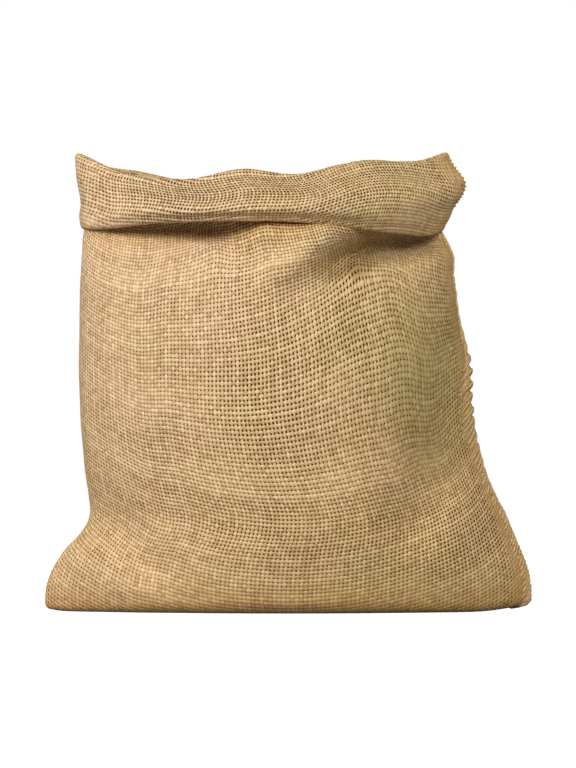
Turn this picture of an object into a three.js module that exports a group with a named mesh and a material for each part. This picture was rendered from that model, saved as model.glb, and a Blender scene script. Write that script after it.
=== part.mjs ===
// A burlap sack that stands open, with its mouth turned down outwards into a cuff.
// Millimetres, +Z up, front towards -Y. The origin is on the floor, under the middle of the sack.
//
// The sack is one length of cloth, folded at its left edge and sewn at its right edge and along its
// bottom. Here the cloth is one sheet: it starts at the bottom seam, runs out along the floor, up the
// wall, over the crest and down as the cuff, and ends in a raw edge that is tucked up inside the cuff.
import * as THREE from "three";

// Driving dimensions
const THICKNESS = 2.2; // the woven cloth
const SEAM_HALF_LENGTH = 176; // the bottom seam, from the middle to a corner
const HEEL_MIDDLE = 13; // radius from the floor to the wall, at the middle of a face
const HEEL_CORNER = 3; // the same at a corner
const HEM_GAP = 7.5; // from the cuff to the edge tucked inside it
const HEM_HEIGHT = 24; // how far that edge runs up
const FULLNESS = 1.2; // how quickly a ring fills out behind its rounded ends
const RIGHT_LIFT = 6; // how far the sewn bottom corner stands off the floor
const LEFT_LIFT = 2.2; // the same at the folded corner
const LIFT_HEIGHT = 45; // above this the wall isn't lifted

// How finely the cloth is divided
const END_SHARES = [0, 0.005, 0.014, 0.03, 0.055, 0.09]; // close together round a sharp end
const HOLLOW_SHARE = 0.53; // right of here the warps stand closer together, for the hollow under the cuff
const LEFT_STEPS = 10;
const RIGHT_STEPS = 16;
const BASE_SHARES = [0, 0.4, 0.8]; // from the bottom seam to the heel
const HEEL_STEPS = 3;
const WALL_HEIGHTS = [22, 45, 58, 71, 90, 120, 155, 190, 215, 232, 243, 252, 260, 268, 276, 284, 294];
const CUFF_STEPS = 6;
const ROLL_STEPS = 4; // over the crest, and round the cuff's lower edge
const HEM_STEPS = 2;

const FRONT = -1;
const BACK = 1;

/** Rows of numbers as objects with named columns. */
function table(names, rows) {
  const keys = names.split(" ");
  return rows.map((row) => Object.fromEntries(row.map((value, i) => [keys[i], value])));
}

// The wall's outline by height. left and right are where it ends, front and back how deep it is to each
// side, and the noses are the radii of its rounded ends.
const WALL = table("height left right front back leftNose rightNose", [
  [0, -180, 180, 60, 58, 3, 3],
  [16, -179, 179.4, 68, 66, 3.5, 3.5],
  [30, -174.5, 177, 72, 70, 4.5, 4.5],
  [45, -165.5, 172.2, 76, 73, 7, 5],
  [57, -153.8, 167, 78, 75, 11, 6],
  [70, -146.6, 161.4, 79.5, 76.5, 15, 7],
  [84, -147, 154.2, 81, 78, 20, 9],
  [107, -150.6, 145, 82, 79, 24, 9],
  [143, -153.8, 136.8, 83, 80, 26, 9],
  [187, -154.6, 133.5, 80, 78, 26, 11],
  [216, -154.2, 125.8, 75, 75, 22, 12],
  [237, -153.9, 122.8, 69, 71, 18, 13],
  [250, -153.5, 121.3, 64, 67, 14, 11],
  [262, -153.1, 121.8, 58, 63, 11, 9],
  [281, -151.2, 112, 49, 56, 6, 7],
  [292, -145, 105, 46, 52, 5, 8],
  [315, -145, 106, 44, 48, 4, 6],
  [338, -151.5, 113.8, 42, 46, 3, 4],
]);

// The cuff's outline by its share down from the crest to its lower edge.
const CUFF = table("down left right front back leftNose rightNose", [
  [0, -158, 119.6, 51, 55, 3, 3],
  [0.09, -157.4, 121, 54, 57, 3, 3.5],
  [0.22, -157, 125.2, 59, 61, 3.5, 6],
  [0.345, -156.2, 130, 63, 64, 4, 9],
  [0.45, -155.4, 131, 66, 66, 4.5, 11],
  [0.56, -154.4, 128.8, 69.5, 68.5, 5, 13],
  [0.72, -153.6, 123.6, 74, 72, 5, 14],
  [0.86, -154.6, 120.8, 75.5, 73.5, 5, 12],
  [1, -154.4, 116.8, 72.5, 71.5, 5.5, 9],
]);

// Heights of the crest and of the cuff's lower edge across the mouth.
const RIM = table("x frontCrest backCrest frontLower backLower", [
  [-158, 338.4, 338.4, 283, 283],
  [-152, 335.8, 336, 283, 283.2],
  [-140, 329, 330.8, 283, 283.6],
  [-131, 324.8, 329.2, 283.2, 284],
  [-117, 321.8, 328, 284.8, 284.4],
  [-100, 319.8, 324.4, 286.4, 284.8],
  [-72, 317.8, 316.6, 287.2, 285],
  [-40, 324.4, 315, 287.6, 285.4],
  [-28, 325, 314.5, 287.4, 285.4],
  [8, 321, 313, 286.8, 284.6],
  [40, 328.2, 315, 283.8, 283.6],
  [60, 331.8, 319, 281.4, 282.6],
  [84, 330.6, 322.5, 279, 281.6],
  [103, 332, 329, 278.2, 280.8],
  [119.6, 339, 339, 281.4, 281.4],
]);

// Folds of the wall, each a soft ridge (rise above 0) or trough (below 0) along a straight line.
const FRONT_FOLDS = table("fromX fromHeight toX toHeight width rise", [
  [-14, 279, 42, 278, 15, 13], // a full stretch that meets the cuff
  [30, 274, -2, 252, 14, 9],
  [40, 260, 96, 274, 16, -17], // the hollow under the cuff
  [80, 274, 112, 278, 17, -13],
  [-150, 284, -56, 283, 13, -17], // drawn in under the cuff on the left
  [132, 194, 116, 120, 21, -36], // the cloth lies flat beside the side seam
  [110, 98, 94, 72, 22, -15],
  [112, 52, 150, 28, 28, 5], // the right corner
  [-142, 76, -98, 36, 14, -8], // from the left side down to the floor
  [-150, 34, -112, 18, 15, 4],
  [-89, 126, -89, 72, 10, -3],
]);
const BACK_FOLDS = table("fromX fromHeight toX toHeight width rise", [
  [-60, 282, -20, 240, 22, 7],
  [10, 276, 80, 262, 16, -10],
  [100, 200, 70, 100, 24, -7],
  [-130, 90, -90, 36, 18, -7],
  [135, 70, 95, 30, 18, -6],
  [-70, 200, -84, 130, 24, -4],
]);

/** A table's columns at some place along its first column, each a smooth curve through the rows. */
function smooth(rows, at) {
  const keys = Object.keys(rows[0]);
  const [place] = keys;
  const inside = THREE.MathUtils.clamp(at, rows[0][place], rows.at(-1)[place]);
  const next = Math.max(1, rows.findIndex((row) => row[place] >= inside));
  const [before, a, b, after] = [next - 2, next - 1, next, next + 1].map(
    (i) => rows[THREE.MathUtils.clamp(i, 0, rows.length - 1)],
  );
  const gap = b[place] - a[place];
  const t = (inside - a[place]) / gap;
  const value = (key) => {
    const slopeA = ((b[key] - before[key]) / (b[place] - before[place])) * gap;
    const slopeB = ((after[key] - a[key]) / (after[place] - a[place])) * gap;
    const rest = b[key] - a[key];
    return a[key] + slopeA * t + (3 * rest - 2 * slopeA - slopeB) * t * t +
      (slopeA + slopeB - 2 * rest) * t ** 3;
  };
  return Object.fromEntries(keys.map((key) => [key, value(key)]));
}

/** One face of a level ring of cloth, from its left end to its right end, seen from above. */
class HalfRing extends THREE.Curve {
  constructor(outline, side) {
    super();
    this.middle = (outline.left + outline.right) / 2;
    this.half = (outline.right - outline.left - THICKNESS) / 2;
    this.outline = outline;
    this.side = side;
  }

  getPoint(t, target = new THREE.Vector2()) {
    const { outline, half, side } = this;
    const across = -Math.cos(Math.PI * t);
    const depth = (side === FRONT ? outline.front : outline.back) - THICKNESS / 2;
    const nose = THREE.MathUtils.lerp(outline.leftNose, outline.rightNose, t);
    const round = Math.min(depth, Math.sqrt(nose * half));
    const width = Math.max(0, 1 - across * across);
    const out = round * Math.sqrt(width) + (depth - round) * width ** FULLNESS;
    return target.set(this.middle + half * across, side * out);
  }
}

/** How far the folds of a face push the cloth outwards. */
function foldRise(folds, x, height) {
  const here = new THREE.Vector3(x, height, 0);
  const line = new THREE.Line3();
  const nearest = new THREE.Vector3();
  return folds.reduce((sum, fold) => {
    line.start.set(fold.fromX, fold.fromHeight, 0);
    line.end.set(fold.toX, fold.toHeight, 0);
    line.closestPointToPoint(here, true, nearest);
    return sum + fold.rise * Math.exp(-((nearest.distanceTo(here) / fold.width) ** 2));
  }, 0);
}

/** A point of the wall at a height, and a share across one face. */
function wallPoint(side, share, height) {
  const ring = new HalfRing(smooth(WALL, height), side);
  const flat = ring.getPointAt(share);
  const across = (flat.x - ring.middle) / ring.half;
  const rise = foldRise(side === FRONT ? FRONT_FOLDS : BACK_FOLDS, flat.x, height);
  const y = flat.y + side * rise * Math.sqrt(Math.max(0, 1 - across * across));
  return new THREE.Vector3(flat.x, y, height);
}

/** A point of the cuff at a share down from its crest. */
function cuffPoint(side, share, down, height) {
  const flat = new HalfRing(smooth(CUFF, down), side).getPointAt(share);
  return new THREE.Vector3(flat.x, flat.y, height);
}

/** The points of a half circle from one layer of cloth to the next, upwards (1) or downwards (-1). */
function roll(from, to, direction) {
  const middle = from.clone().lerp(to, 0.5);
  const radius = from.distanceTo(to) / 2;
  const points = [];
  for (let i = 1; i < ROLL_STEPS; i++) {
    const angle = (Math.PI * i) / ROLL_STEPS;
    const point = middle.clone().lerp(from, Math.cos(angle));
    point.z += direction * radius * Math.sin(angle);
    points.push(point);
  }
  return points;
}

/** The base: from the bottom seam along the floor, and round the heel to the wall. */
function basePoints(side, share) {
  const floor = THICKNESS / 2;
  const heel = THREE.MathUtils.lerp(HEEL_CORNER, HEEL_MIDDLE, Math.sin(Math.PI * share));
  const edge = wallPoint(side, share, floor + heel);
  const along = new HalfRing(smooth(WALL, floor + heel), side).getTangentAt(share);
  const outwards = new THREE.Vector2(-side * along.y, side * along.x);
  const seamX = THREE.MathUtils.lerp(-SEAM_HALF_LENGTH, SEAM_HALF_LENGTH, share);
  const seam = new THREE.Vector3(seamX, 0, floor);
  const foot = new THREE.Vector3(edge.x - heel * outwards.x, edge.y - heel * outwards.y, floor);
  const points = BASE_SHARES.map((part) => seam.clone().lerp(foot, part));
  for (let i = 0; i <= HEEL_STEPS; i++) {
    const angle = (Math.PI / 2) * (i / HEEL_STEPS);
    const out = heel * Math.sin(angle);
    const up = heel * (1 - Math.cos(angle));
    points.push(foot.clone().add(new THREE.Vector3(out * outwards.x, out * outwards.y, up)));
  }
  return points;
}

/** How far a point is raised where the bottom corners stand off the floor. */
function cornerLift({ x, z }) {
  const right = THREE.MathUtils.clamp((x - 130) / 50, 0, 1);
  const left = THREE.MathUtils.clamp((-160 - x) / 20, 0, 1);
  const low = THREE.MathUtils.clamp(1 - z / LIFT_HEIGHT, 0, 1);
  return (RIGHT_LIFT * right ** 2 + LEFT_LIFT * left ** 2) * low;
}

/** One warp yarn's way, from the bottom seam to the raw edge inside the cuff. */
function warp(side, share) {
  const top = new HalfRing(smooth(CUFF, 0), side).getPointAt(share);
  const rim = smooth(RIM, top.x);
  const crest = side === FRONT ? rim.frontCrest : rim.backCrest;
  const lower = side === FRONT ? rim.frontLower : rim.backLower;
  const points = basePoints(side, share);
  WALL_HEIGHTS.forEach((height) => points.push(wallPoint(side, share, height)));

  const cuffTop = cuffPoint(side, share, 0, crest);
  const crestRadius = cuffTop.distanceTo(wallPoint(side, share, crest)) / 2;
  const shoulder = crest - crestRadius;
  const below = WALL_HEIGHTS.at(-1);
  points.push(wallPoint(side, share, (below + shoulder) / 2));
  points.push(wallPoint(side, share, shoulder));
  cuffTop.z = shoulder;
  points.push(...roll(points.at(-1), cuffTop, 1), cuffTop);

  const turn = lower + HEM_GAP / 2;
  for (let i = 1; i <= CUFF_STEPS; i++) {
    const down = i / CUFF_STEPS;
    points.push(cuffPoint(side, share, down, THREE.MathUtils.lerp(shoulder, turn, down)));
  }

  const hem = (height, down) => {
    const outer = cuffPoint(side, share, down, height);
    const inwards = wallPoint(side, share, height).sub(outer).setLength(HEM_GAP);
    return outer.add(inwards);
  };
  const hemStart = hem(turn, 1);
  points.push(...roll(points.at(-1), hemStart, -1), hemStart);
  for (let i = 1; i <= HEM_STEPS; i++) {
    const up = (HEM_HEIGHT * i) / HEM_STEPS;
    points.push(hem(turn + up, 1 - up / (shoulder - turn)));
  }
  points.forEach((point) => (point.z += cornerLift(point)));
  return points;
}

/** The shares across a face at which the warps are placed, closer together at both ends. */
function warpShares() {
  const last = END_SHARES.at(-1);
  const between = (from, to, steps) =>
    Array.from({ length: steps }, (_, i) => THREE.MathUtils.lerp(from, to, i / steps)).slice(1);
  return [
    ...END_SHARES,
    ...between(last, HOLLOW_SHARE, LEFT_STEPS),
    HOLLOW_SHARE,
    ...between(HOLLOW_SHARE, 1 - last, RIGHT_STEPS),
    ...END_SHARES.map((share) => 1 - share).reverse(),
  ];
}

/** The middle of the cloth as one sheet, with the faces that meet at the bottom seam sharing its points. */
function sheetGrid() {
  const shares = warpShares();
  const front = shares.map((share) => warp(FRONT, share));
  const back = shares.slice(1, -1).reverse().map((share) => warp(BACK, share));
  const warps = [...front, ...back];
  const rows = warps[0].length;
  const frontCount = front.length;
  const seamIndex = (column) => (column < frontCount ? column : 2 * (frontCount - 1) - column);
  const vertices = [];
  for (let column = 0; column < frontCount; column++) vertices.push(warps[column][0]);
  warps.forEach((points) => vertices.push(...points.slice(1)));
  const at = (column, row) => {
    const c = column % warps.length;
    return row === 0 ? seamIndex(c) : frontCount + c * (rows - 1) + row - 1;
  };
  const triangles = [];
  for (let c = 0; c < warps.length; c++) {
    for (let r = 0; r < rows - 1; r++) {
      const quad = [at(c, r), at(c + 1, r), at(c + 1, r + 1), at(c, r + 1)];
      const [p, q, s, t] = quad.map((i) => vertices[i]);
      if (q.distanceTo(t) < p.distanceTo(s)) quad.push(quad.shift()); // the shorter way across the quad
      triangles.push([quad[0], quad[1], quad[2]], [quad[0], quad[2], quad[3]]);
    }
  }
  const edge = warps.map((_, c) => at(c, rows - 1));
  return { vertices, triangles, edge };
}

/** The cloth as a closed solid: the sheet pushed out and in by half its thickness, joined at the edge. */
function clothGeometry() {
  const { vertices, triangles, edge } = sheetGrid();
  const sheet = new THREE.BufferGeometry().setFromPoints(vertices);
  sheet.setIndex(triangles.flat());
  sheet.computeVertexNormals();
  const normals = sheet.getAttribute("normal");
  const skin = (offset) =>
    vertices.map((point, i) =>
      point.clone().addScaledVector(new THREE.Vector3().fromBufferAttribute(normals, i), offset));
  const count = vertices.length;
  const faces = [...triangles, ...triangles.map(([a, b, c]) => [a + count, c + count, b + count])];
  edge.forEach((here, i) => {
    const next = edge[(i + 1) % edge.length];
    faces.push([here, next, next + count], [here, next + count, here + count]);
  });
  const solid = new THREE.BufferGeometry();
  solid.setFromPoints([...skin(THICKNESS / 2), ...skin(-THICKNESS / 2)]);
  solid.setIndex(faces.flat());
  solid.computeBoundingBox();
  const middle = solid.boundingBox.getCenter(new THREE.Vector3());
  solid.translate(-middle.x, -middle.y, -solid.boundingBox.min.z);
  return solid;
}

const burlap = new THREE.MeshStandardMaterial({ color: 0xc7a878, roughness: 0.95, metalness: 0 });

const sack = new THREE.Group();
const cloth = new THREE.Mesh(clothGeometry(), burlap);
cloth.name = "sack_cloth";
sack.add(cloth);

export default sack;
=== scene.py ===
# %% [markdown]
# # A burlap sack with its mouth turned down
# One length of plain-woven jute, folded at the left edge, whipped together at the right edge and along
# the bottom, filled once and then left standing. Its mouth is turned down outwards into a wavy cuff. The
# lesson makes it as a sewer does: a flat cut of cloth is drawn first, each of its points is then carried
# to its place on the standing sack, and the weave follows because it was measured on the flat cut.
# The packed part is loaded first. It gives the size and the place that every piece has to keep.

import math

import bmesh
import bpy
import numpy as np
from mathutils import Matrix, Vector, noise


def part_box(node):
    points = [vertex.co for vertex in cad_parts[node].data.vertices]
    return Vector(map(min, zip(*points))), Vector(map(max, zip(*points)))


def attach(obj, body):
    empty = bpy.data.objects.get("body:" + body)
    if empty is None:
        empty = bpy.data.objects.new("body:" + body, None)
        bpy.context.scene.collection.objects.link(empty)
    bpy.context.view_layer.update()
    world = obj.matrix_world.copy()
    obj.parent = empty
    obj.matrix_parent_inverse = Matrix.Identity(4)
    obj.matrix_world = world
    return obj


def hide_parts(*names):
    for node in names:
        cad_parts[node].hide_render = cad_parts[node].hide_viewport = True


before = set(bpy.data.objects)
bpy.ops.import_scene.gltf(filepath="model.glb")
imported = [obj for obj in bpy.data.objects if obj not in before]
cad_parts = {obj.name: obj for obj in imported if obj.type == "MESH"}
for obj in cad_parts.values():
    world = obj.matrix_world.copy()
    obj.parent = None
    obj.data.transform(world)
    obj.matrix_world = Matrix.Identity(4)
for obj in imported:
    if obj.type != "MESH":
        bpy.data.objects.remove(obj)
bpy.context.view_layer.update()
MM = 0.001

# %% [markdown]
# ## Camera
# A long lens from far away, level with the middle of the sack, keeps its sides nearly free of perspective.
# The lens is worked out from the height that the frame has to hold, so moving the camera keeps the size.

# %% Place the camera
CAMERA_DISTANCE = 4.5
CAMERA_HEIGHT = 168 * MM
FRAME_HEIGHT = 568.3 * MM
SENSOR = 36.0

camera_data = bpy.data.cameras.new("camera")
camera_data.sensor_fit = "VERTICAL"
camera_data.sensor_height = SENSOR
camera_data.lens = SENSOR * CAMERA_DISTANCE / FRAME_HEIGHT
camera = bpy.data.objects.new("camera", camera_data)
camera.location = (0, -CAMERA_DISTANCE, CAMERA_HEIGHT)
camera.rotation_euler = (math.radians(90), 0, 0)
bpy.context.scene.collection.objects.link(camera)
bpy.context.scene.camera = camera
print("lens in mm:", round(camera_data.lens))

# %% [markdown]
# ## Tables and curves
# A standing sack has no straight side, but a few measurements at a few heights give its whole shape. They
# are kept as short tables, one row for each height, and a smooth curve is drawn through the rows. A
# sculpted mesh could hold the same shape, but a table can be read and changed.

# %% Read a table, and draw curves through it
def table(names, rows):
    """Rows of millimetres as one array of metres for each named column."""
    return dict(zip(names.split(), np.array(rows, float).T * MM))


def smooth(rows, at):
    """Every column of a table at places along its first one, on a smooth curve through the rows."""
    place = next(iter(rows.values()))
    inside = np.clip(at, place[0], place[-1])
    b = np.clip(np.searchsorted(place, inside), 1, len(place) - 1)
    a = b - 1
    before = np.maximum(a - 1, 0)
    after = np.minimum(b + 1, len(place) - 1)
    gap = place[b] - place[a]
    t = (inside - place[a]) / gap
    found = {}
    for key, value in rows.items():
        rest = value[b] - value[a]
        slope_a = (value[b] - value[before]) / (place[b] - place[before]) * gap
        slope_b = (value[after] - value[a]) / (place[after] - place[a]) * gap
        found[key] = (value[a] + slope_a * t + (3 * rest - 2 * slope_a - slope_b) * t**2
                      + (slope_a + slope_b - 2 * rest) * t**3)
    return found


def step(value, start, end):
    """0 before start, 1 after end, and a smooth rise between them."""
    t = np.clip((value - start) / (end - start), 0, 1)
    return t * t * (3 - 2 * t)


print("halfway from 2 to 6 the step is at", step(4.0, 2.0, 6.0))

# %% [markdown]
# ## Outlines of the wall, the cuff and its rim
# `left` and `right` are where an outline ends, `front` and `back` how deep it is to each side, and the
# noses are the radii of its two rounded ends. The cuff is read downwards, in thousandths of its own depth.
# The rim gives the heights of the crest and of the cuff's lower edge from left to right, since both wave.

# %% The three tables
WALL = table("height left right front back left_nose right_nose", [
    [0, -180, 180, 60, 58, 3, 3],
    [16, -179, 179.4, 68, 66, 3.5, 3.5],
    [30, -174.5, 177, 72, 70, 4.5, 4.5],
    [45, -165.5, 172.2, 76, 73, 7, 5],
    [57, -153.8, 167, 78, 75, 11, 6],
    [70, -146.6, 161.4, 79.5, 76.5, 15, 7],
    [84, -147, 154.2, 81, 78, 20, 9],
    [107, -150.6, 145, 82, 79, 24, 9],
    [143, -153.8, 136.8, 83, 80, 26, 9],
    [187, -154.6, 133.5, 80, 78, 26, 11],
    [216, -154.2, 126.6, 75, 75, 22, 12],
    [237, -153.9, 123.6, 69, 71, 18, 13],
    [250, -153.5, 121.9, 64, 67, 14, 11],
    [262, -153.1, 122, 58, 63, 11, 9],
    [281, -151.2, 112.6, 49, 56, 6, 7],
    [292, -145, 105, 46, 52, 5, 8],
    [315, -145, 107, 44, 48, 4, 6],
    [338, -154.4, 116.2, 42, 46, 3, 3.5],
])
CUFF = table("down left right front back left_nose right_nose", [
    [0, -158, 119.6, 51, 55, 3, 3],
    [90, -157.4, 121, 54, 57, 3, 3.5],
    [220, -157, 125.2, 59, 61, 3.5, 6],
    [345, -156.2, 130, 63, 64, 4, 9],
    [450, -155.4, 131, 66, 66, 4.5, 11],
    [560, -154.4, 128.8, 69.5, 68.5, 5, 13],
    [720, -153.6, 123.6, 74, 72, 5, 14],
    [850, -154.6, 121, 76.2, 74.2, 5, 12],
    [920, -154.6, 119.2, 74.6, 73.2, 5, 10],
    [1000, -154, 116.6, 70, 70.2, 5.5, 8],
])
RIM = table("x front_crest back_crest front_lower back_lower", [
    [-158, 338.4, 338.4, 283, 283],
    [-152, 334.6, 334.8, 283, 283.2],
    [-140, 327, 328.4, 283, 283.6],
    [-131, 323.2, 326.6, 283.2, 284],
    [-117, 320.8, 325.2, 284.8, 284.4],
    [-100, 319, 322.4, 286.4, 284.8],
    [-72, 317.8, 316.6, 287.2, 285],
    [-40, 324.4, 315, 287.6, 285.4],
    [-28, 325, 314.5, 287.4, 285.4],
    [8, 321, 313, 286.8, 284.6],
    [40, 328.2, 315, 283.8, 283.6],
    [60, 331.8, 319, 281.4, 282.6],
    [84, 330.6, 322.5, 279, 281.6],
    [103, 332, 329, 278.2, 280.8],
    [119.6, 339, 339, 281.4, 281.4],
])
print("outlines:", len(WALL["height"]), "heights of wall,", len(CUFF["down"]), "of cuff")

# %% [markdown]
# ## Folds
# Between its outlines the cloth is pushed out in soft ridges and drawn in along troughs. Each is a short
# straight line on the face with a width and a rise, and a bell-shaped profile across it. The deep one is
# the hollow under the right half of the cuff. Cloth simulation could find folds of its own, but not these.

# %% Ridges and troughs of the two faces
FRONT_FOLDS = table("from_x from_height to_x to_height width rise", [
    [-14, 279, 46, 280, 15, 15],  # a full stretch that meets the cuff
    [30, 274, -4, 252, 13, 13],
    [52, 264, 98, 274, 12, -26],  # the hollow under the cuff
    [84, 275, 112, 279, 13, -27],
    [64, 275, 34, 255, 9, -20],  # its steep left side
    [-150, 284, -56, 283, 13, -17],  # drawn in under the cuff on the left
    [132, 194, 116, 120, 21, -36],  # the cloth lies flat beside the side seam
    [110, 98, 94, 72, 22, -15],
    [112, 52, 150, 28, 28, 5],  # the right corner
    [-142, 76, -98, 36, 14, -8],  # from the left side down to the floor
    [-150, 34, -112, 18, 15, 4],
    [-89, 126, -89, 72, 10, -3],
])
BACK_FOLDS = table("from_x from_height to_x to_height width rise", [
    [-60, 282, -20, 240, 22, 7],
    [10, 276, 80, 262, 16, -10],
    [100, 200, 70, 100, 24, -7],
    [-130, 90, -90, 36, 18, -7],
    [135, 70, 95, 30, 18, -6],
    [-70, 200, -84, 130, 24, -4],
])


def fold_rise(folds, x, height):
    """How far all the folds of a face push the cloth outwards at each point."""
    total = np.zeros_like(x)
    for from_x, from_height, to_x, to_height, width, rise in zip(*folds.values()):
        run_x, run_height = to_x - from_x, to_height - from_height
        along = ((x - from_x) * run_x + (height - from_height) * run_height) / (run_x**2 + run_height**2)
        along = np.clip(along, 0, 1)
        off_x = x - from_x - along * run_x
        off_height = height - from_height - along * run_height
        total += rise * np.exp(-(off_x**2 + off_height**2) / width**2)
    return total


print("folds:", len(FRONT_FOLDS["rise"]), "on the front,", len(BACK_FOLDS["rise"]), "on the back")

# %% [markdown]
# ## Rings of cloth
# Cut level, the sack is a ring with a rounded nose at its fold and at its seam. Every ring holds the same
# number of yarns, so the yarns are shared out evenly along it: that is what makes the weave fan out
# towards the corners. The columns of the mesh stand closer together at the noses, which are sharp.

# %% One face's half of every ring
THICKNESS = 2.2 * MM
FULLNESS = 1.2  # above 1, the ring gets a little less full between its middle and its noses
FACE_COLUMNS = 98
CROWDING = 0.62  # 0 would space the columns evenly
RING_STEPS = 160
FRONT, BACK = -1, 1

even = np.linspace(0, 1, FACE_COLUMNS + 1)
shares = even - CROWDING * np.sin(2 * math.pi * even) / (2 * math.pi)


def half_ring(outline, side):
    """x, y and across (-1 to 1) of one face's rings: a row for each outline, a column for each share."""
    angle = np.linspace(0, 1, RING_STEPS + 1)
    across = -np.cos(math.pi * angle)
    left, right = outline["left"][:, None], outline["right"][:, None]
    half = (right - left - THICKNESS) / 2
    depth = outline["front" if side == FRONT else "back"][:, None] - THICKNESS / 2
    nose = outline["left_nose"][:, None] * (1 - angle) + outline["right_nose"][:, None] * angle
    round_part = np.minimum(depth, np.sqrt(nose * half))
    width = np.maximum(0, 1 - across**2)
    x = (left + right) / 2 + half * across
    y = side * (round_part * np.sqrt(width) + (depth - round_part) * width**FULLNESS)
    length = np.cumsum(np.hypot(np.diff(x, prepend=x[:, :1]), np.diff(y, prepend=y[:, :1])), 1)
    return np.array([[np.interp(shares, s / s[-1], values) for values in (a, b, across)]
                     for s, a, b in zip(length, x, y)]).transpose(1, 0, 2)


print("columns to a face:", FACE_COLUMNS, "at least", round(360 * (shares[1] - shares[0]), 1), "mm apart")

# %% [markdown]
# ## The wall and the cuff as stacks of rings
# Crest and lower edge wave, so each yarn turns over at a height of its own. A stack of rings is worked out
# once, one for every millimetre of height, and any column can then be read from it at any height. Lofting
# between a few rings would be shorter, but it couldn't follow the waves.

# %% Read the stacks column by column
WALL_LEVELS = np.arange(0, 345) * MM
CUFF_LEVELS = np.linspace(0, 1, 101)


class Rings:
    """A stack of rings that can be read at any place of each column."""

    def __init__(self, outlines, places, side):
        self.places = places
        self.grids = half_ring(smooth(outlines, places), side)

    def at(self, place):
        """x, y and across where each column meets its own place."""
        k = np.clip((place - self.places[0]) / (self.places[1] - self.places[0]), 0, len(self.places) - 1.001)
        low = k.astype(int)
        part = k - low
        column = np.arange(len(shares))
        return [grid[low, column] * (1 - part) + grid[low + 1, column] * part for grid in self.grids]


wall_rings = {side: Rings(WALL, WALL_LEVELS, side) for side in (FRONT, BACK)}
cuff_rings = {side: Rings(CUFF, CUFF_LEVELS, side) for side in (FRONT, BACK)}


def wall(side, height):
    """Points of the wall, one for each column, at its own height."""
    x, y, across = wall_rings[side].at(height)
    rise = fold_rise(FRONT_FOLDS if side == FRONT else BACK_FOLDS, x, height)
    return np.stack([x, y + side * rise * np.sqrt(np.maximum(0, 1 - across**2)), height], 1)


def cuff(side, down, height):
    """Points of the cuff, at its share down from the crest and its height."""
    x, y, _ = cuff_rings[side].at(down)
    return np.stack([x, y, height], 1)


print("levels of the wall:", len(WALL_LEVELS), "and of the cuff:", len(CUFF_LEVELS))

# %% [markdown]
# ## The way of one yarn
# Follow any upright yarn from the bottom seam: it runs along the floor, turns up at the heel, climbs the
# wall, rolls over the crest, comes down as the cuff, rolls under at the cuff's lower edge and ends where
# it is tucked up inside. All the columns take this way at once, step by step.

# %% From the bottom seam round the heel
SEAM_HALF_LENGTH = 176 * MM
HEEL_MIDDLE = 13 * MM
HEEL_CORNER = 3 * MM
FLOOR = THICKNESS / 2
FLOOR_STEPS = 12
FLOOR_END = 0.96  # the last step on the floor stops short of the heel
HEEL_STEPS = 7


def roll(start, end, direction, steps=10):
    """A half circle from one layer of cloth to the next, up or down."""
    middle = (start + end) / 2
    radius = np.linalg.norm(end - start, axis=1) / 2
    points = []
    for i in range(1, steps):
        angle = math.pi * i / steps
        point = middle + (start - middle) * math.cos(angle)
        point[:, 2] += direction * radius * math.sin(angle)
        points.append(point)
    return points


def base(side):
    """From the bottom seam along the floor, and round the heel to the wall."""
    heel = HEEL_CORNER + (HEEL_MIDDLE - HEEL_CORNER) * np.sin(math.pi * shares)
    edge = wall(side, FLOOR + heel)
    heel = heel[:, None]
    along = np.gradient(edge[:, :2], shares, axis=0)
    along /= np.linalg.norm(along, axis=1)[:, None]
    outwards = np.stack([-side * along[:, 1], side * along[:, 0], 0 * shares], 1)
    seam = np.stack([(2 * shares - 1) * SEAM_HALF_LENGTH, 0 * shares, 0 * shares + FLOOR], 1)
    foot = edge * [1, 1, 0] + [0, 0, FLOOR] - heel * outwards
    points = [seam + (foot - seam) * part for part in np.linspace(0, FLOOR_END, FLOOR_STEPS)]
    for angle in np.linspace(0, math.pi / 2, HEEL_STEPS):
        up = heel * (1 - math.cos(angle)) * np.array([0, 0, 1])
        points.append(foot + heel * math.sin(angle) * outwards + up)
    return points


print("steps of the base:", len(base(FRONT)))

# %% [markdown]
# ## Up the wall and over
# Above the heel the yarn climbs to the shoulder, where the roll of the crest begins, and comes down as the
# cuff. Both rolls are half circles between two layers, because cloth that is turned down by hand isn't
# creased. The raw edge is tucked up behind the cuff and isn't seen.

# %% From the heel to the raw edge
HEM_GAP = 7.5 * MM
HEM_HEIGHT = 24 * MM
WALL_STEPS = 150
CUFF_STEPS = 34
HEM_STEPS = 12


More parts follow.
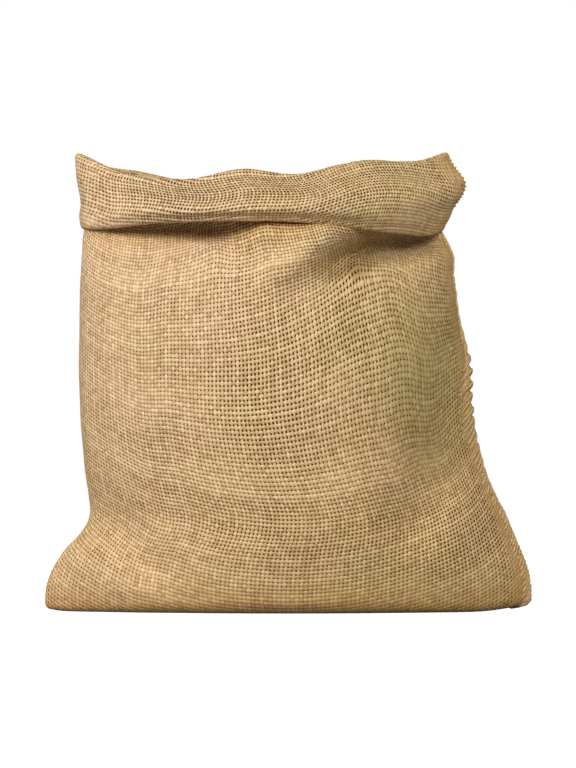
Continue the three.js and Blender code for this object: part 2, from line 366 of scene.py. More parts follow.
def way(side):
    """Every yarn's way on one face, as an array of steps, columns and x, y, z."""
    crest_x = cuff_rings[side].at(np.zeros_like(shares))[0]
    rim = smooth(RIM, crest_x)
    name = "front" if side == FRONT else "back"
    crest, lower = rim[name + "_crest"], rim[name + "_lower"]
    points = base(side)
    top = cuff(side, np.zeros_like(shares), crest)
    shoulder = crest - np.linalg.norm(top - wall(side, crest), axis=1) / 2
    bottom = points[-1][:, 2]
    for part in np.linspace(0, 1, WALL_STEPS)[1:]:
        points.append(wall(side, bottom + (shoulder - bottom) * part))
    top[:, 2] = shoulder
    points += roll(points[-1], top, 1) + [top]
    turn = lower + HEM_GAP / 2
    for down in np.linspace(0, 1, CUFF_STEPS)[1:]:
        points.append(cuff(side, 0 * shares + down, shoulder + (turn - shoulder) * down))

    def hem(height, down):
        outer = cuff(side, down, height)
        inwards = wall(side, height) - outer
        return outer + inwards / np.linalg.norm(inwards, axis=1)[:, None] * HEM_GAP

    start = hem(turn, 0 * shares + 1)
    points += roll(points[-1], start, -1) + [start]
    for up in np.linspace(0, HEM_HEIGHT, HEM_STEPS)[1:]:
        points.append(hem(turn + up, 1 - up / (shoulder - turn)))
    return np.array(points)


print("steps of a yarn's way:", len(way(FRONT)))

# %% [markdown]
# ## Round the sack in equal steps
# The two faces are joined into one sheet that starts at the side seam, runs over the back to the folded
# edge and over the front to the seam again. Each way is cut into equal steps, and both bottom corners are
# lifted a little off the floor, as they are on a sack that was filled and has slumped.

# %% Lift the corners and even out the steps
RIGHT_LIFT = 6 * MM
LEFT_LIFT = 2.2 * MM
LIFT_HEIGHT = 45 * MM
ROWS = 240


def lifted(points):
    """The points with both bottom corners raised a little off the floor."""
    x, z = points[..., 0], points[..., 2]
    lift = (RIGHT_LIFT * np.clip((x - 130 * MM) / (50 * MM), 0, 1) ** 2
            + LEFT_LIFT * np.clip((-160 * MM - x) / (20 * MM), 0, 1) ** 2)
    raised = points.copy()
    raised[..., 2] = z + lift * np.clip(1 - z / LIFT_HEIGHT, 0, 1)
    return raised


def evenly(points, rows):
    """The same ways cut into equal steps, and the length of each."""
    length = np.concatenate([np.zeros((1, points.shape[1])),
                             np.cumsum(np.linalg.norm(np.diff(points, axis=0), axis=2), 0)])
    spread = np.linspace(0, 1, rows + 1)
    cut = [[np.interp(spread * s[-1], s, points[:, c, axis]) for axis in range(3)]
           for c, s in enumerate(length.T)]
    return np.array(cut).transpose(2, 0, 1), length[-1]


back_points, back_lengths = evenly(lifted(way(BACK)), ROWS)
front_points, front_lengths = evenly(lifted(way(FRONT)), ROWS)
sheet_points = np.concatenate([back_points[:, ::-1], front_points[:, 1:]], 1)
sheet_lengths = np.concatenate([back_lengths[::-1], front_lengths[1:]])
sheet_shares = np.concatenate([(1 - shares[::-1]) / 2, 0.5 + shares[1:] / 2])
along = sheet_lengths * np.linspace(0, 1, ROWS + 1)[:, None]
crest_rows = sheet_points[..., 2].argmax(0)[None]
past_crest = along - np.take_along_axis(along, crest_rows, 0)
print("a yarn is", round(sheet_lengths.min() / MM), "to", round(sheet_lengths.max() / MM), "mm long")

# %% [markdown]
# ## Where each point was on the flat cut
# The cut is 720 by 465 mm. Yarns of different lengths end at the same straight edge, so what a long way
# needs is taken from the slack of the weave: slowly over the whole wall, and for the hollow only close to
# it. The cuff was turned down at a slant, so there the weave runs a little across it.

# %% The flat cut as two coordinates in metres
FLAT_WIDTH = 0.72
FLAT_HEIGHT = 0.465
WALL_SLACK = (0.12, 0.35)  # the lengths along a yarn between which the weave gives way
HOLLOW_SLACK = (0.285, 0.35)
CREST_TURN = (-12 * MM, 6 * MM)
CALM_SIDES = 12 * MM
NEIGHBOURS = 19
TURNED = table("x rise lean", [
    [-158, 6, -400],
    [-142, 0, -200],
    [-125, -5, -20],
    [-90, -4, 50],
    [-50, 0, 140],
    [-10, 6, 200],
    [30, 14, 220],
    [58, 20, 160],
    [80, 22, 0],
    [100, 20, -220],
    [131, 10, -450],
])


def softened(values, reach):
    """A row of numbers averaged with its neighbours."""
    weights = np.hanning(2 * reach + 3)[1:-1]
    return np.convolve(np.pad(values, reach, "edge"), weights / weights.sum(), "valid")


even_lengths = softened(sheet_lengths, NEIGHBOURS)
seam_distance = np.minimum(sheet_shares, 1 - sheet_shares) * FLAT_WIDTH
fold_distance = np.abs(sheet_shares - 0.5) * FLAT_WIDTH
turned = smooth(TURNED, sheet_points[..., 0])
over = step(past_crest, *CREST_TURN)
below_crest = sheet_points[..., 2].max(0) - sheet_points[..., 2]
facing = np.where(sheet_shares > 0.5, 1, -1) * step(np.minimum(seam_distance, fold_distance), 0, CALM_SIDES)
flat_u = sheet_shares * FLAT_WIDTH - turned["lean"] * below_crest * over * facing
flat_v = (along + (FLAT_HEIGHT - even_lengths) * step(along, *WALL_SLACK)
          + (even_lengths - sheet_lengths) * step(along, *HOLLOW_SLACK) + turned["rise"] * over)
print("flat cut:", FLAT_WIDTH, "by", FLAT_HEIGHT, "m, up to", round(flat_v.max(), 3), "m up")

# %% [markdown]
# ## How tight the weave is
# Burlap is loose cloth: handling pushes its yarns together in one place and apart in another. A short
# table says where, with a reach each way and how much wider the yarns are, in thousandths of their pitch.
# Along the side seam and where the cuff turns under, the yarns are crowded too. Two more bands are marked
# for the colours: the one along the seam, darkened partly as painted shade between the stitches, and the
# strip of wall in the cuff's shadow, which gets a warm painted shade tint.

# %% Crowded and loosened places
SEAM_EDGE = (12 * MM, 21 * MM)  # in from the seam
# the strip of wall where the cuff's shadow falls, which gets a painted shade tint
UNDER_CUFF_START = (-68 * MM, -52 * MM)  # past the crest, so these are before it
UNDER_CUFF_END = -8 * MM
TURN_UNDER = (43 * MM, 50 * MM)
SEAM_TIGHTER = 0.15
TURN_TIGHTER = 0.07
TIGHT_SPOTS = table("x height reach_x reach_height tighter", [
    [-128, 200, 44, 130, 62],  # the left side
    [0, 0, 300, 24, 125],  # along the floor
    [-10, 38, 110, 26, 34],
    [104, 170, 32, 80, 115],  # the flank
    [122, 138, 10, 34, -75],
    [136, 52, 34, 26, -34],  # the right corner
    [8, 140, 60, 22, -18],
    [-60, 306, 130, 20, -90],  # the middle of the cuff
    [-156, 304, 14, 34, 40],
    [96, 300, 26, 20, -20],
    [96, 262, 60, 12, 30],
])
x, y, z = np.moveaxis(sheet_points, 2, 0)
tightness = np.zeros_like(x)
for spot_x, height, reach_x, reach_height, tighter in zip(*TIGHT_SPOTS.values()):
    tightness += tighter * np.exp(-((x - spot_x) / reach_x) ** 2 - ((z - height) / reach_height) ** 2)
seam_band = 1 - step(seam_distance, *SEAM_EDGE)
# painted shade: marks the strip in the cuff's shadow for a warm darker tint
fresh = step(past_crest, *UNDER_CUFF_START) * (past_crest < UNDER_CUFF_END)
tightness += SEAM_TIGHTER * seam_band + TURN_TIGHTER * step(past_crest, *TURN_UNDER)
fill = 0.7 + 2 * tightness  # both halves of a yarn
print("the yarns fill", fill.min().round(2), "to", fill.max().round(2), "of their pitch")

# %% [markdown]
# ## Puckers and small dents
# The whip stitches gather the side edge into small puffs, strongest where the sack is pulled in. Slow
# noise moves the rest of the cloth a little along its own normals, less near the floor, where it rests.
# No hand-filled sack is as even as its tables.

# %% Push the cloth along its normals
PUFF = 9.4 * MM
PUFF_REACH = (2 * MM, 19 * MM)
PUFF_SLANT = 0.5
PUFF_LEVEL = 0.6  # the share of a puff that lies below the cloth's own surface
DENT = 0.7 * MM
DENT_SPREAD = 34 * MM
DENT_START, DENT_RISE = 12 * MM, 30 * MM
PUFFS = table("height rise", [
    [0, 0],
    [20, 0.1],
    [110, 0.3],
    [145, 1.2],
    [158, 1.9],
    [184, 1.9],
    [194, 0.5],
    [250, 0.2],
    [340, 0],
])

normals = np.cross(np.gradient(sheet_points, axis=1), np.gradient(sheet_points, axis=0))
normals[:, 0] = normals[:, -1] = normals[:, 0] + normals[:, -1] + [1e-8, 0, 0]
normals /= np.maximum(np.linalg.norm(normals, axis=2), 1e-12)[..., None]
dents = np.array([[noise.noise(Vector(point) / DENT_SPREAD) for point in row] for row in sheet_points])
puffs = np.abs(np.cos(math.pi * (z + PUFF_SLANT * seam_distance) / PUFF)) - PUFF_LEVEL
puffs *= smooth(PUFFS, z)["rise"] * 2 * (1 - step(seam_distance, *PUFF_REACH)) * (past_crest < 0)
push = dents * DENT * np.clip((z - DENT_START) / DENT_RISE, 0, 1) + puffs
surface = sheet_points + normals * push[..., None]
low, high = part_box("sack_cloth")
middle = (surface.min((0, 1)) + surface.max((0, 1))) / 2
shift = np.array([(low.x + high.x) / 2 - middle[0], (low.y + high.y) / 2 - middle[1], 0])
surface += shift
print("shifted onto the frame by", (shift / MM).round(2), "mm")

# %% [markdown]
# ## Cut the cloth and sew it
# `create_grid` gives the cloth as it is cut: a flat sheet with straight edges. Each of its points is
# carried to its place on the sack, and merging doubles sews the side seam and the bottom. The UV map keeps
# where each point was on the flat cut, so a weave drawn on it is as regular as the real one. Solidify
# gives the sheet its thickness, which closes it round the raw edge.

# %% A grid becomes the sack
cloth = bmesh.new()
uv_map = cloth.loops.layers.uv.new("flat_cut")
tight_layer = cloth.verts.layers.float.new("tightness")
seam_layer = cloth.verts.layers.float.new("seam")
# marks the strip in the cuff's shadow, for a painted shade tint
fresh_layer = cloth.verts.layers.float.new("fresh")
bmesh.ops.create_grid(cloth, x_segments=2 * FACE_COLUMNS, y_segments=ROWS, size=0.5)
flat_place = {}
for vertex in cloth.verts:
    column = round((vertex.co.x + 0.5) * 2 * FACE_COLUMNS)
    row = round((vertex.co.y + 0.5) * ROWS)
    flat_place[vertex] = (flat_u[row, column], flat_v[row, column])
    vertex[tight_layer] = tightness[row, column]
    vertex[seam_layer] = seam_band[column]
    vertex[fresh_layer] = fresh[row, column]
    vertex.co = surface[row, column]
for face in cloth.faces:
    face.smooth = True
    for loop in face.loops:
        loop[uv_map].uv = flat_place[loop.vert]
bmesh.ops.remove_doubles(cloth, verts=cloth.verts, dist=0.02 * MM)
sack_mesh = bpy.data.meshes.new("sack")
cloth.to_mesh(sack_mesh)
print("cloth:", len(cloth.verts), "points,", len(cloth.faces), "faces")
cloth.free()
sack = bpy.data.objects.new("sack", sack_mesh)
bpy.context.scene.collection.objects.link(sack)
thickness = sack.modifiers.new("thickness", "SOLIDIFY")
thickness.thickness = THICKNESS
thickness.offset = 0
thickness.use_quality_normals = True

# %% [markdown]
# ## Whip stitches
# The side seam is closed with a coarse jute thread that goes round and round the edge. Each turn shows as
# a short slanted bar on the front, crosses the edge and comes back on the other side. One turn is a small
# grid bent into a tube that thins to nothing where it dives into the cloth. They could be one long coil,
# but single turns are easier to keep on the cloth, and no two of them are quite alike.

# %% Find a place beside the seam
edge_length = sheet_lengths[-1]
seam_steps = np.linalg.norm(np.diff(surface, axis=1), axis=2)
back_distance = np.concatenate([np.zeros((ROWS + 1, 1)), np.cumsum(seam_steps, 1)], 1)
front_distance = np.concatenate([np.zeros((ROWS + 1, 1)), np.cumsum(seam_steps[:, ::-1], 1)], 1)


def on_cloth(length, distance):
    """Point and normal of the cloth at a length up the seam and a distance in from it, less than 0 behind."""
    row = np.clip(length / edge_length * ROWS, 0, ROWS - 1.001)
    low_row = int(row)
    part = row - low_row
    distances = (front_distance if distance >= 0 else back_distance)[low_row]
    place = np.interp(abs(distance), distances, np.arange(len(distances)))
    place = len(distances) - 1 - place if distance >= 0 else place
    low_column = min(int(place), len(distances) - 2)
    share = place - low_column
    found = []
    for grid in (surface, normals):
        near = grid[low_row:low_row + 2, low_column:low_column + 2]
        level = near[:, 0] * (1 - share) + near[:, 1] * share
        found.append(level[0] * (1 - part) + level[1] * part)
    return found


print("a third of the way along the seam:", (on_cloth(edge_length / 3, 0)[0] / MM).round(), "mm")

# %% [markdown]
# ## One turn of thread
# A turn starts inland on the front, comes over the edge and ends inland on the back. It stands off the
# cloth by part of its own radius, lies flush where it bends round the edge, and dips at both ends. The
# grid's short side becomes the way round the thread, and merging its doubles closes the tube.

# %% Bend a grid into a turn
TURN_STEPS = 8
THREAD_SIDES = 6


def add_turn(mesh, length, reach, slant, radius, side):
    """One turn of thread round the edge, as a tube that is closed at both ends."""
    spread = np.linspace(1, -1, TURN_STEPS + 1)
    points, outwards = [], []
    for place in spread:
        point, normal = on_cloth(length - slant * abs(place) ** 1.3, reach * place)
        stand = (THICKNESS / 2 + radius * min(0.6, 2 * abs(place))) * min(1, 4.5 * (1 - abs(place)) + 0.25)
        points.append(point + side * normal * stand)
        outwards.append(side * normal)
    points, outwards = np.array(points), np.array(outwards)
    ahead = np.gradient(points, axis=0)
    ahead /= np.linalg.norm(ahead, axis=1)[:, None]
    sideways = np.cross(ahead, outwards)
    sideways /= np.linalg.norm(sideways, axis=1)[:, None]
    upwards = np.cross(sideways, ahead)
    thin = radius * np.sqrt(np.maximum(0, 1 - spread**6))
    made = bmesh.ops.create_grid(mesh, x_segments=TURN_STEPS, y_segments=THREAD_SIDES, size=0.5)["verts"]
    for vertex in made:
        i = round((vertex.co.x + 0.5) * TURN_STEPS)
        angle = 2 * math.pi * (vertex.co.y + 0.5)
        vertex.co = points[i] + thin[i] * (math.cos(angle) * sideways[i] + math.sin(angle) * upwards[i])
    bmesh.ops.remove_doubles(mesh, verts=made, dist=0.01 * MM)


print("a turn is a grid of", TURN_STEPS, "by", THREAD_SIDES, "faces")

# %% [markdown]
# ## The whole seam, and its end on the cuff
# The long turns run up the wall. Above its pulled-in part the seam is turned to the back, so they are
# shorter there. The cuff shows the cloth's other side, so its short turns stand on that side. Reach,
# slant, thread and spacing all vary a little from turn to turn, as hand sewing does.

# %% Turns of thread along the side edge
THREAD = 0.9 * MM
STITCH_START = 5 * MM
STITCH_END = 20 * MM  # below the crest
STITCH_GAP = 3.7 * MM
STITCH_REACH = 14 * MM
STITCH_SLANT = 6 * MM
SHORTER, SHORT_HEIGHTS = 0.7, (172 * MM, 198 * MM)
CUFF_STITCHES = (6 * MM, 46 * MM)  # past the crest
CUFF_GAP = 3 * MM
CUFF_REACH = 3 * MM
CUFF_SLANT = 0.6 * MM
rng = np.random.default_rng(4)

stitching = bmesh.new()
length = STITCH_START
crest_length = along[crest_rows[0, -1], -1]
while length < crest_length - STITCH_END:
    height = on_cloth(length, 0)[0][2]
    reach = STITCH_REACH * rng.uniform(0.82, 1.1) * (1 - SHORTER * step(height, *SHORT_HEIGHTS))
    slant = STITCH_SLANT * rng.uniform(0.8, 1.2)
    add_turn(stitching, length, reach, slant, THREAD * rng.uniform(0.85, 1.1), 1)
    length += STITCH_GAP * rng.uniform(0.85, 1.15)
length = crest_length + CUFF_STITCHES[0]
while length < crest_length + CUFF_STITCHES[1]:
    reach = CUFF_REACH * rng.uniform(0.8, 1.2)
    add_turn(stitching, length, reach, CUFF_SLANT, THREAD * rng.uniform(0.6, 0.8), -1)
    length += CUFF_GAP * rng.uniform(0.75, 1.25)
bmesh.ops.recalc_face_normals(stitching, faces=stitching.faces)
for face in stitching.faces:
    face.smooth = True
stitch_mesh = bpy.data.meshes.new("stitches")
stitching.to_mesh(stitch_mesh)
print("stitches:", len(stitching.faces), "faces in all")
stitching.free()
stitches = bpy.data.objects.new("stitches", stitch_mesh)
bpy.context.scene.collection.objects.link(stitches)

# %% [markdown]
# ## Maths on a material's sockets
# The weave is drawn by arithmetic, and arithmetic reads best as arithmetic. Each value of a material is a
# `Wire`, and Python's own operators join wires with maths nodes. Placing the nodes by hand would give the
# same material, but nobody could read it.

# %% A wire that can be added and multiplied
class Wire:
    """A socket of a material, with Python's operators for its maths."""

    def __init__(self, finish, socket):
        self.finish = finish
        self.socket = socket

    def math(self, operation, *others):
        return self.finish.node("ShaderNodeMath", {"operation": operation}, [self, *others])

    def __add__(self, other):
        return self.math("ADD", other)

    def __radd__(self, other):
        return self + other

    def __sub__(self, other):
        return self.math("SUBTRACT", other)

    def __rsub__(self, other):
        return self.finish.node("ShaderNodeMath", {"operation": "SUBTRACT"}, [other, self])

    def __mul__(self, other):
        return self.math("MULTIPLY", other)

    def __rmul__(self, other):
        return self * other

    def __truediv__(self, other):
        return self.math("DIVIDE", other)

    def __pow__(self, other):
        return self.math("POWER", other)

    def __neg__(self):
        return self * -1

    def __gt__(self, other):
        return self.math("GREATER_THAN", other)


print("operators of a wire:", [name for name in vars(Wire) if name.endswith("__")][2:])

# %% [markdown]
# ## Finishes
# A finish is a material whose nodes are made one call at a time by a single method, with a few helpers
# for what the weave needs often: noise, one random number for each yarn, and smooth ramps.

# %% A material built call by call
class Finish:
    """A material whose nodes are made one call at a time."""

    def __init__(self, name):
        self.material = bpy.data.materials.new(name)
        self.material.use_nodes = True
        self.tree = self.material.node_tree
        self.tree.nodes.clear()

    def node(self, kind, settings, inputs, output=0):
        """Adds a node: its settings first, then the values or links of its sockets, by place or name."""
        made = self.tree.nodes.new(kind)
        for key, value in settings.items():
            if key == "stops":
                self.set_stops(made.color_ramp, value)
            else:
                setattr(made, key, value)
        pairs = inputs.items() if isinstance(inputs, dict) else enumerate(inputs)
        for key, value in pairs:
            if isinstance(value, Wire):
                self.tree.links.new(value.socket, made.inputs[key])
            else:
                made.inputs[key].default_value = value
        return Wire(self, made.outputs[output]) if len(made.outputs) else None

    def set_stops(self, ramp, stops):
        """The colours of a ramp and where they lie."""
        while len(ramp.elements) > 1:
            ramp.elements.remove(ramp.elements[-1])
        for i, (place, colour) in enumerate(stops):
            stop = ramp.elements[0] if i == 0 else ramp.elements.new(place)
            stop.position = place
            stop.color = colour

    def mix(self, factor, a, b, blend="MIX"):
        """Two colours mixed."""
        settings = {"data_type": "RGBA", "blend_type": blend}
        return self.node("ShaderNodeMix", settings, {0: factor, 6: a, 7: b}, 2)

    def either(self, factor, a, b):
        """Two numbers mixed."""
        return self.node("ShaderNodeMix", {"data_type": "FLOAT"}, {0: factor, 2: a, 3: b})

    def vector(self, x, y, z=0.0):
        return self.node("ShaderNodeCombineXYZ", {}, [x, y, z])

    def part(self, vector, axis):
        return self.node("ShaderNodeSeparateXYZ", {}, [vector], axis)

    def noise(self, place, scale, detail=2.0, roughness=0.5, output="Fac"):
        inputs = {"Vector": place, "Scale": scale, "Detail": detail, "Roughness": roughness}
        return self.node("ShaderNodeTexNoise", {"noise_dimensions": "3D"}, inputs, output)

    def random(self, index, seed):
        """A number from 0 to 1 that stays the same along one yarn."""
        return self.node("ShaderNodeTexWhiteNoise", {"noise_dimensions": "1D"}, {"W": index + seed}, "Value")

    def ramp(self, value, low, high, to_low=0.0, to_high=1.0):
        """value from low to high as to_low to to_high, smoothly and clamped."""
        settings = {"interpolation_type": "SMOOTHSTEP", "clamp": True}
        return self.node("ShaderNodeMapRange", settings, [value, low, high, to_low, to_high])

    def attribute(self, name):
        """A number that the mesh holds at each of its points."""
        return self.node("ShaderNodeAttribute", {"attribute_name": name}, {}, "Fac")

    def matt(self, colour, **others):
        """Ends the material in a matt surface of a colour."""
        inputs = {"Base Color": colour, **{key.replace("_", " "): value for key, value in others.items()}}
        surface = self.node("ShaderNodeBsdfPrincipled", {}, inputs, "BSDF")
        self.node("ShaderNodeOutputMaterial", {}, {"Surface": surface})


print("finish helpers:", [name for name in vars(Finish) if not name.startswith("_")])

# %% [markdown]
# ## Which yarn is where
# Burlap is a plain weave of single yarns, here 2.96 mm apart both ways. The place on the flat cut, counted
# in yarns, gives the number of the upright warp and of the level weft at each spot, and how far the spot
# is from the middle of each. The yarns wander a little. A picture of cloth could be laid on instead, but
# it would repeat, and it couldn't be loosened in one place and tightened in another.

# %% Warp and weft numbers
PITCH = 2.96 * MM
WANDER = 0.6  # yarns

burlap = Finish("burlap")
flat_cut = burlap.node("ShaderNodeUVMap", {"uv_map": "flat_cut"}, {})
u = burlap.part(flat_cut, "X")
v = burlap.part(flat_cut, "Y")

wander = burlap.noise(flat_cut, 18.0, 1.0, 0.5, "Color")
warp = u / PITCH + (burlap.part(wander, "X") - 0.5) * WANDER
weft = v / PITCH + (burlap.part(wander, "Y") - 0.5) * WANDER
warp_index = warp.math("FLOOR")
weft_index = weft.math("FLOOR")
from_warp = (warp - warp_index - 0.5).math("ABSOLUTE")
from_weft = (weft - weft_index - 0.5).math("ABSOLUTE")
print("yarns:", round(FLAT_WIDTH / PITCH), "warps,", round(FLAT_HEIGHT / PITCH), "wefts")

# %% [markdown]
# ## How wide each yarn is
# Jute is spun unevenly, so each yarn has its own width, and lumps along it. A few wefts are slubs, much
# thicker for a hand's breadth. The widths are half widths, in shares of the pitch, and what the table of
# tightness says is added to them.

# %% Widths, lumps and slubs
LUMP_LENGTH = 9 * MM
WARP_WIDTH, WARP_SPREAD, WARP_LUMPS = 0.352, 0.04, 0.15
WEFT_WIDTH, WEFT_SPREAD, WEFT_LUMPS = 0.366, 0.07, 0.2
SLUB = 0.06
PATCH = 0.025

warp_random = burlap.random(warp_index, 0.37)
weft_random = burlap.random(weft_index, 50.61)
warp_lumps = burlap.noise(burlap.vector(warp_index * 7.3, v / LUMP_LENGTH), 1.0)
weft_lumps = burlap.noise(burlap.vector(u / LUMP_LENGTH, weft_index * 5.9, 4.0), 1.0)
slub = burlap.ramp(weft_random, 0.93, 0.97) * burlap.ramp(weft_lumps, 0.45, 0.6)
patches = burlap.noise(flat_cut, 16.0)
tighter = burlap.attribute("tightness") - burlap.ramp(patches, 0.3, 0.7, -PATCH, PATCH)
warp_width = WARP_WIDTH + (warp_random - 0.5) * WARP_SPREAD + (warp_lumps - 0.5) * WARP_LUMPS + tighter
weft_width = WEFT_WIDTH + (weft_random - 0.5) * WEFT_SPREAD + (weft_lumps - 0.5) * WEFT_LUMPS + tighter
weft_width = weft_width + slub * SLUB
print("nodes so far:", len(burlap.tree.nodes))

# %% [markdown]
# ## Over and under
# Each yarn has a round section and rides over one crossing yarn and under the next, which is a cosine wave
# along it. At every spot the higher of the two yarns is the one that is seen, and where neither reaches
# there is a hole. Modelling the 400 yarns as tubes would give the same picture for a few million faces.

# %% Heights of the yarns
CLIMB = 0.45  # how far a yarn rides up and down, in shares of its own radius
YARN_EDGE = 0.12

warp_round = 1 - (from_warp / warp_width) ** 2
weft_round = 1 - (from_weft / weft_width) ** 2
warp_wave = ((weft - 0.5 + warp_index) * math.pi).math("COSINE")
weft_wave = -((warp - 0.5 + weft_index) * math.pi).math("COSINE")
on_warp = burlap.ramp(warp_round, 0.0, YARN_EDGE)
on_weft = burlap.ramp(weft_round, 0.0, YARN_EDGE)
warp_seen = (warp_round.math("MAXIMUM", 0.0).math("SQRT") + warp_wave * CLIMB) * on_warp - (1 - on_warp)
weft_seen = (weft_round.math("MAXIMUM", 0.0).math("SQRT") + weft_wave * CLIMB) * on_weft - (1 - on_weft)
height = warp_seen.math("MAXIMUM", weft_seen)
warp_on_top = warp_seen > weft_seen
covered = on_warp.math("MAXIMUM", on_weft)
print("nodes so far:", len(burlap.tree.nodes))

# %% [markdown]
# ## Colour of the yarns
# Jute is straw to tan, streaked along its fibres, and a little different from yarn to yarn and from one
# crossing to the next. Where a yarn dips under another it gets less light, so it is darkened there, and
# its blue most of all. Light alone would do this too, but only with every yarn modelled.

# %% Fibres, crossings and dips
STRAW = (0.79, 0.605, 0.4, 1)
TAN = (0.62, 0.43, 0.238, 1)
BROWN = (0.37, 0.235, 0.1, 1)
FIBRE_WIDTH = 0.22 * MM
FIBRE_LENGTH = 7 * MM

warp_fibres = burlap.noise(burlap.vector(u / FIBRE_WIDTH, v / FIBRE_LENGTH, 2.0), 1.0, 3.0, 0.6)
weft_fibres = burlap.noise(burlap.vector(u / FIBRE_LENGTH, v / FIBRE_WIDTH, 6.0), 1.0, 3.0, 0.6)
fibres = burlap.either(warp_on_top, weft_fibres, warp_fibres)
yarn_random = burlap.either(warp_on_top, weft_random, warp_random)
crossing = burlap.random(warp_index * 317.0 + weft_index, 3.3)
tone = fibres * 0.9 + yarn_random * 0.2 + crossing * 0.34 + (height - 0.75) * 0.35 - 0.39 + slub * 0.08
jute = burlap.node("ShaderNodeValToRGB", {"stops": [(0.0, BROWN), (0.38, TAN), (0.78, STRAW)]}, [tone])
dip = burlap.ramp(height, -0.1, 0.75, 0.47, 1.0)
dipped = burlap.node("ShaderNodeCombineColor", {}, [dip, dip ** 1.12, dip ** 1.35])
jute = burlap.mix(1.0, jute, dipped, "MULTIPLY")
print("nodes so far:", len(burlap.tree.nodes))

# %% [markdown]
# ## Patches, bands and holes
# Whole areas are slightly rosier or greener, and the right side, turned away from the key light, is pushed
# greener as painted shade. The cloth under the side stitches is a darker tan, partly its own colour and
# partly painted shade between the turns of thread, and the band in the cuff's shadow gets a warm painted
# shade tint. The holes come last, since no tint of the yarns reaches them: they are painted with the dark
# shade of the inside seen through them. Painting over them is simpler than cutting 38,000 holes.

# %% Tints of the yarns, and the holes between them
# the seam band's own tan, made darker as painted shade between the turns of thread
SEAM_TAN_SHADE = (0.46, 0.3, 0.125, 1)
ROSY = (1.0, 0.975, 0.985, 1)
GREENISH = (0.95, 0.99, 0.86, 1)
# painted shade: warms and deepens the cuff's cast shadow on the wall
UNDER_CUFF_SHADE_TINT = (0.97, 0.91, 0.76, 1)
# painted shade: the dark inside of the sack, seen through the holes
HOLE_SHADE = (0.045, 0.022, 0.007, 1)
WHITE = (1, 1, 1, 1)
SEAM_SHARE = 0.6

place = burlap.node("ShaderNodeTexCoord", {}, {}, "Object")
# painted shade colour: the right side, away from the key light, is pushed greener
right_shade_tint = burlap.ramp(burlap.part(place, "X"), -150 * MM, 140 * MM, -0.15, 0.12)
hue = burlap.ramp(burlap.noise(flat_cut, 11.0, 3.0, 0.6) + right_shade_tint, 0.3, 0.75)
jute = burlap.mix(1.0, jute, burlap.mix(hue, ROSY, GREENISH), "MULTIPLY")
# the seam band: its own tan, partly painted shade between the stitches
jute = burlap.mix(burlap.attribute("seam") * SEAM_SHARE, jute, SEAM_TAN_SHADE)
# painted shade tint in the cuff's shadow
jute = burlap.mix(1.0, jute, burlap.mix(burlap.attribute("fresh"), WHITE, UNDER_CUFF_SHADE_TINT), "MULTIPLY")
# the holes are painted with the shade seen through them
surface_colour = burlap.mix(covered, HOLE_SHADE, jute)
print("nodes so far:", len(burlap.tree.nodes))

# %% [markdown]
# ## Painted shade, tints and relief
# The flank that faces away from the key light is darkened to an olive grey, and the band where the cloth
# turns under at the floor is darkened too: both are painted shade. The cloth is also a little yellower
# towards its foot. The tints multiply yarns and holes alike. The heights of the yarns drive a bump, with
# the fibres as a little more, so that each crossing catches the light.

# %% Painted flank shade, foot tint, painted foot shade and bump
# painted shade on the flank that faces away from the key light
FLANK_SHADE = (0.78, 0.82, 0.72, 1)
YELLOWED = (0.99, 0.965, 0.89, 1)
# painted shade where the cloth turns under at the floor
FOOT_SHADE = (0.8, 0.72, 0.6, 1)
FLANK_X, FLANK_WIDTH = 110 * MM, 50 * MM
FLANK_Z, FLANK_HEIGHT = 165 * MM, 85 * MM
RELIEF = 0.65 * MM

from_flank = (((burlap.part(place, "X") - FLANK_X) / FLANK_WIDTH) ** 2
              + ((burlap.part(place, "Z") - FLANK_Z) / FLANK_HEIGHT) ** 2)
for mask, tint in [
    # painted shade on the flank
    (burlap.ramp(from_flank, 0.1, 1.2, 1.0, 0.0), FLANK_SHADE),
    (burlap.ramp(burlap.part(place, "Z"), 40 * MM, 190 * MM, 1.0, 0.0), YELLOWED),
    # painted shade of the turned-under band at the floor
    (burlap.ramp(burlap.part(place, "Z"), 4 * MM, 24 * MM, 1.0, 0.0), FOOT_SHADE),
]:
    surface_colour = burlap.mix(1.0, surface_colour, burlap.mix(mask, WHITE, tint), "MULTIPLY")
relief = {"Strength": 1.0, "Distance": RELIEF, "Height": height + fibres * 0.25}
bump = burlap.node("ShaderNodeBump", {}, relief, "Normal")
burlap.matt(surface_colour, Roughness=0.92, Specular_IOR_Level=0.2, Normal=bump)
sack_mesh.materials.append(burlap.material)
print("nodes of the burlap:", len(burlap.tree.nodes))

# %% [markdown]
# ## The stitching thread
# It is jute too, a coarse two-ply twine, warmer than the cloth and streaked in the same way. Noise in the
# thread's own place is enough at this size.

# %% Twine
twine = Finish("twine")
twine_place = twine.node("ShaderNodeTexCoord", {}, {}, "Object")
streaks = twine.noise(twine_place, 900.0, 3.0, 0.6)
shades = [(0.3, (0.4, 0.265, 0.12, 1)), (0.65, (0.76, 0.55, 0.31, 1))]
twine_colour = twine.node("ShaderNodeValToRGB", {"stops": shades}, [streaks])
twine_relief = {"Strength": 0.6, "Distance": 0.2 * MM, "Height": streaks}
twine_bump = twine.node("ShaderNodeBump", {}, twine_relief, "Normal")
twine.matt(twine_colour, Roughness=0.9, Specular_IOR_Level=0.2, Normal=twine_bump)
stitch_mesh.materials.append(twine.material)
print("nodes of the twine:", len(twine.tree.nodes))

# %% [markdown]
# ## The room
# A faint warm glow from all round stands in for light that the room throws back. The camera itself sees
# plain white behind the sack, so a light path chooses between the two.

# %% Room glow and white background
GLOW = (1, 0.8, 0.5, 1)
GLOW_STRENGTH = 0.2

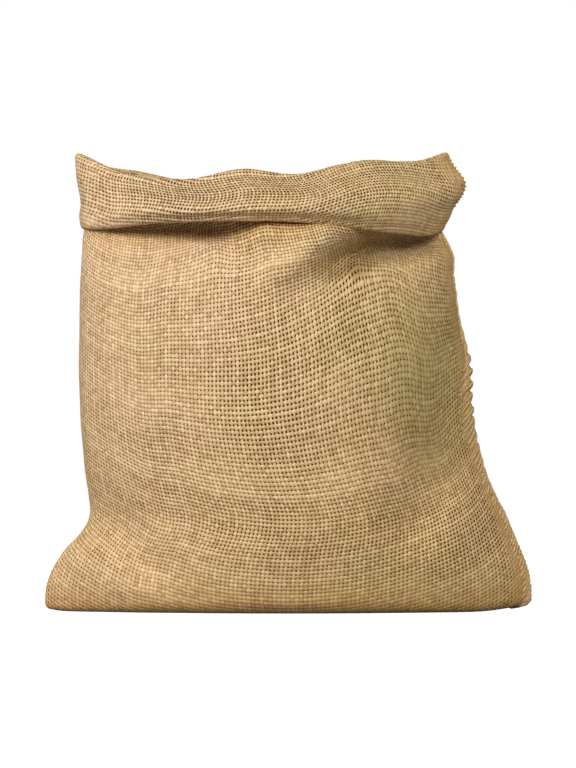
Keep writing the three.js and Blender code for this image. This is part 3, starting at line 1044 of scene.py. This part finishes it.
world = bpy.data.worlds.new("studio")
bpy.context.scene.world = world
world.use_nodes = True
sky = world.node_tree
sky.nodes.clear()
glow = sky.nodes.new("ShaderNodeBackground")
glow.inputs["Color"].default_value = GLOW
glow.inputs["Strength"].default_value = GLOW_STRENGTH
white = sky.nodes.new("ShaderNodeBackground")
white.inputs["Color"].default_value = WHITE
white.inputs["Strength"].default_value = 1.0
seen = sky.nodes.new("ShaderNodeLightPath")
choose = sky.nodes.new("ShaderNodeMixShader")
out = sky.nodes.new("ShaderNodeOutputWorld")
sky.links.new(seen.outputs["Is Camera Ray"], choose.inputs[0])
sky.links.new(glow.outputs[0], choose.inputs[1])
sky.links.new(white.outputs[0], choose.inputs[2])
sky.links.new(choose.outputs[0], out.inputs["Surface"])
bpy.context.scene.view_settings.view_transform = "Standard"
print("world:", world.name)

# %% [markdown]
# ## Lamps
# Three round soft lights: the key from the upper left, a weaker one from the upper right front that keeps
# the shaded flank readable, and the weakest behind, for the sack seen from the back. Being as wide as a
# window, they give the folds soft shadows.

# %% Key, fill and back light
AIM = Vector((0, 0, 0.16))


def lamp(name, size, power, colour, position):
    """A round soft light that shines at the middle of the sack."""
    data = bpy.data.lights.new(name, "AREA")
    data.shape = "DISK"
    data.size = size
    data.energy = power
    data.color = colour
    made = bpy.data.objects.new(name, data)
    made.location = position
    made.rotation_euler = (AIM - made.location).to_track_quat("-Z", "Y").to_euler()
    bpy.context.scene.collection.objects.link(made)


lamp("key", 1.3, 65, (1.0, 1.0, 1.0), (-2.02, -1.5, 1.6))
lamp("back", 1.6, 34, (1.0, 0.97, 0.92), (1.3, 2.6, 1.7))
lamp("fill", 1.6, 57, (1.0, 0.965, 0.89), (0.85, -2.6, 1.6))

# %% [markdown]
# ## Floor
# A wide disc, white to the camera and pale grey to the light, so the sack stands in a plain white picture
# and still gets a soft glow from below. It belongs to the studio, not to the sack.

# %% A pale disc
FLOOR_RADIUS = 3.0
PALE_GREY = (0.27, 0.27, 0.27, 1)
BLACK = (0, 0, 0, 1)

floor_shape = bmesh.new()
bmesh.ops.create_circle(floor_shape, cap_ends=True, segments=96, radius=FLOOR_RADIUS)
floor_mesh = bpy.data.meshes.new("floor")
floor_shape.to_mesh(floor_mesh)
floor_shape.free()
floor = bpy.data.objects.new("floor", floor_mesh)
bpy.context.scene.collection.objects.link(floor)
pale = Finish("pale_floor")
in_view = pale.node("ShaderNodeLightPath", {}, {}, "Is Camera Ray")
shine = pale.mix(in_view, BLACK, WHITE)
pale.matt(PALE_GREY, Roughness=0.9, Emission_Color=shine, Emission_Strength=1.0)
floor_mesh.materials.append(pale.material)
print("floor:", len(floor_mesh.polygons), "face")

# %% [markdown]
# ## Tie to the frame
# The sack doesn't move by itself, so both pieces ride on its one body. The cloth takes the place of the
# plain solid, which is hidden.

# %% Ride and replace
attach(sack, "root")
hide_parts("sack_cloth")
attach(stitches, "root")
bpy.context.view_layer.update()
